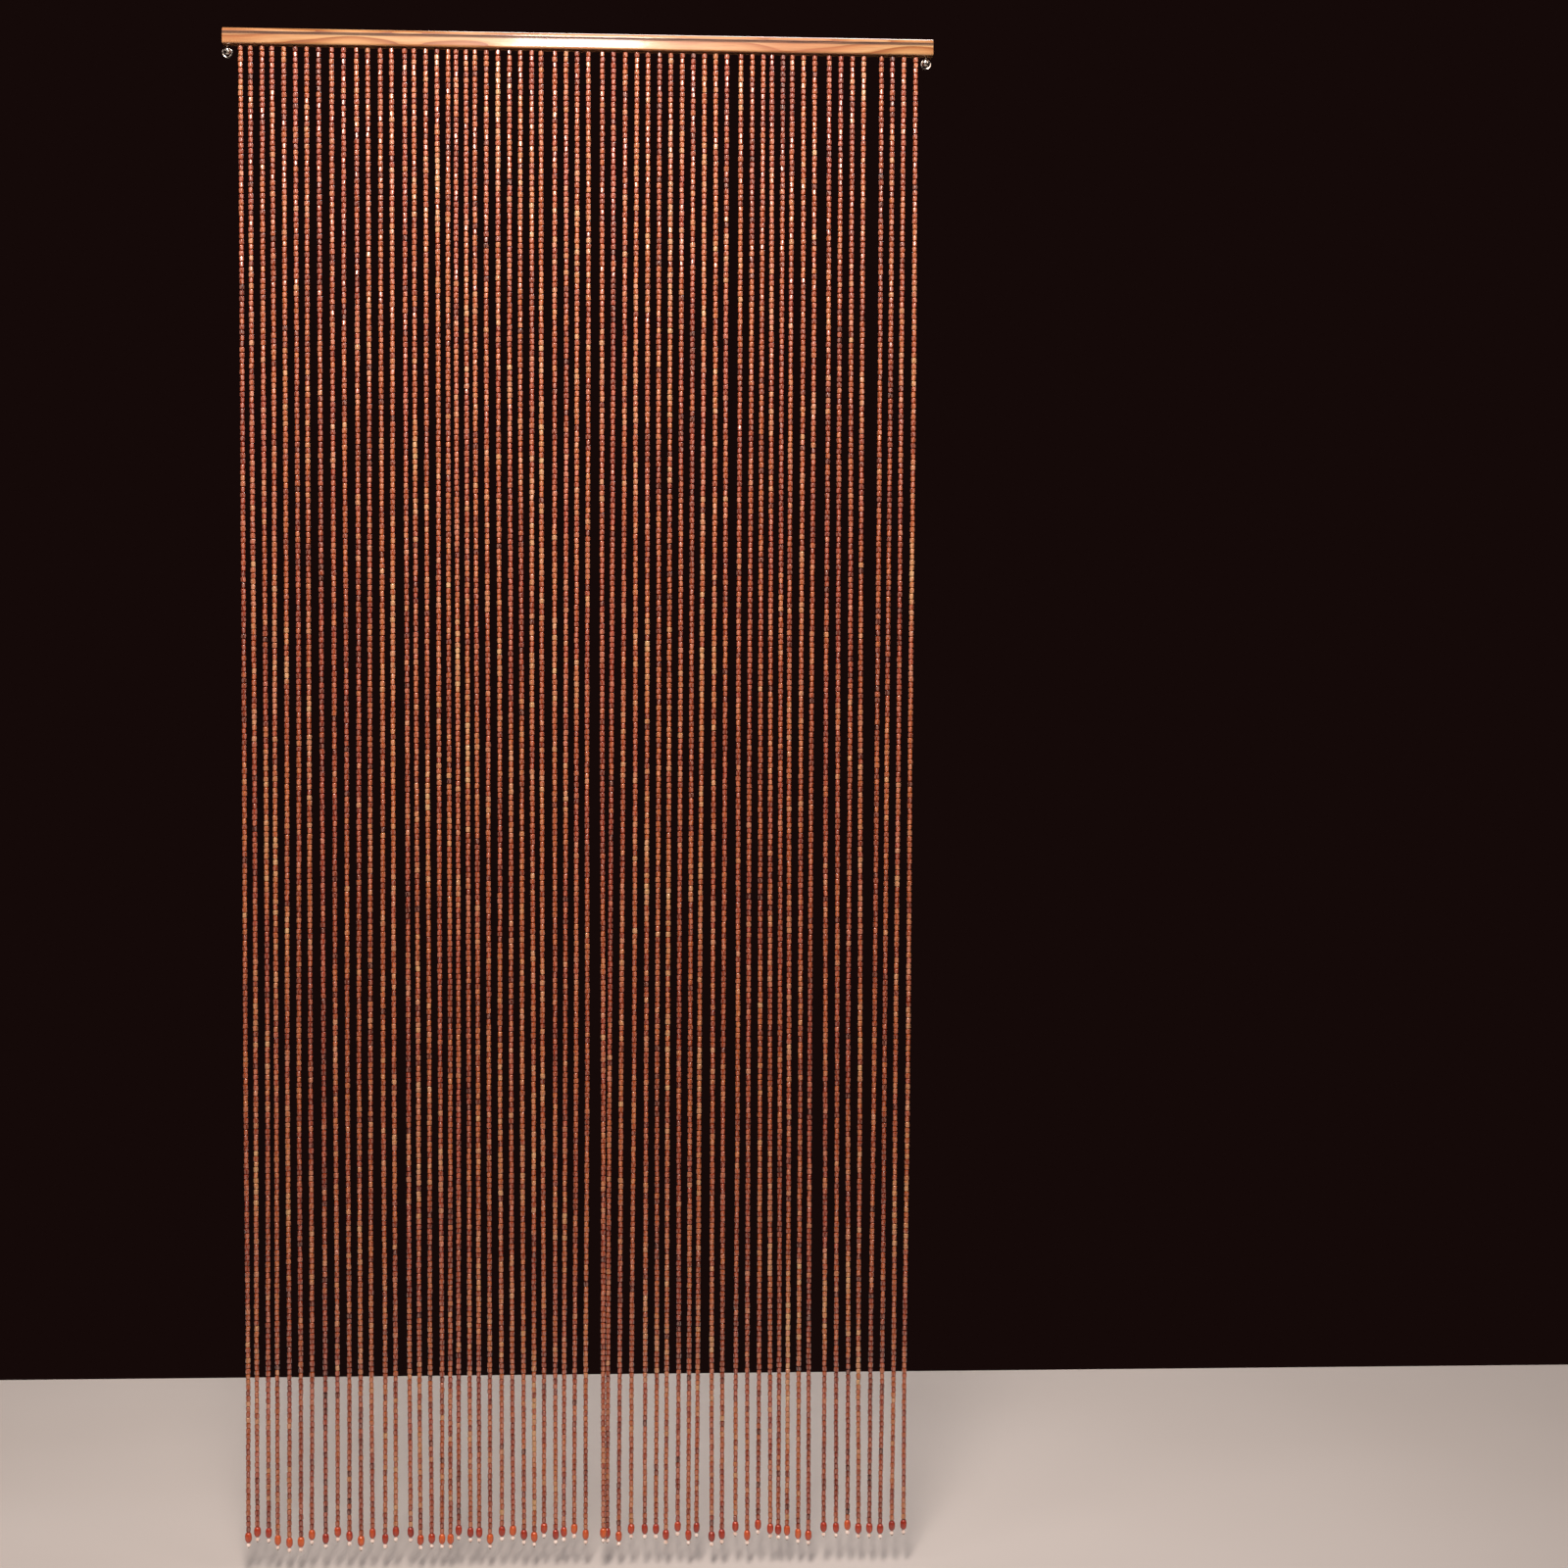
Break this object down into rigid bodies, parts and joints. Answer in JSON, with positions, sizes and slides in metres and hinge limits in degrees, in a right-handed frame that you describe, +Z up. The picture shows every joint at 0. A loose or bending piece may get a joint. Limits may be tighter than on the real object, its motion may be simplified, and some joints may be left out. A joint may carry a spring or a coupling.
{
  "type": "bead curtain with rail",
  "caption": "Doorway curtain of long strings of small red-brown wooden beads hanging from a varnished wooden rail, each string ending in a larger bead and a pale ball.",
  "frame": {"origin": "middle of the rail's flat back face, which lies against the door frame", "axes": "+Y out of the rail's back into the door frame, +X along the rail to the right as seen from the front, +Z up; the strings hang towards -Z"},
  "size_m": [0.9012, 0.0182, 1.9547],
  "materials": {
    "rail_wood": "light pine, glossy varnish",
    "bead_wood": "red-brown wooden beads, tumbled and polished",
    "plated_metal": "nickel plate, polished",
    "thread": "twisted brown thread",
    "stop_ball": "pale pearl lacquer"
  },
  "bodies": {
    "root": {"rail": "rail_wood", "bead_strings": "bead_wood", "screw_eye_left": "plated_metal", "screw_eye_right": "plated_metal", "screw_left": "plated_metal", "screw_right": "plated_metal"}
  },
  "joints": []
}
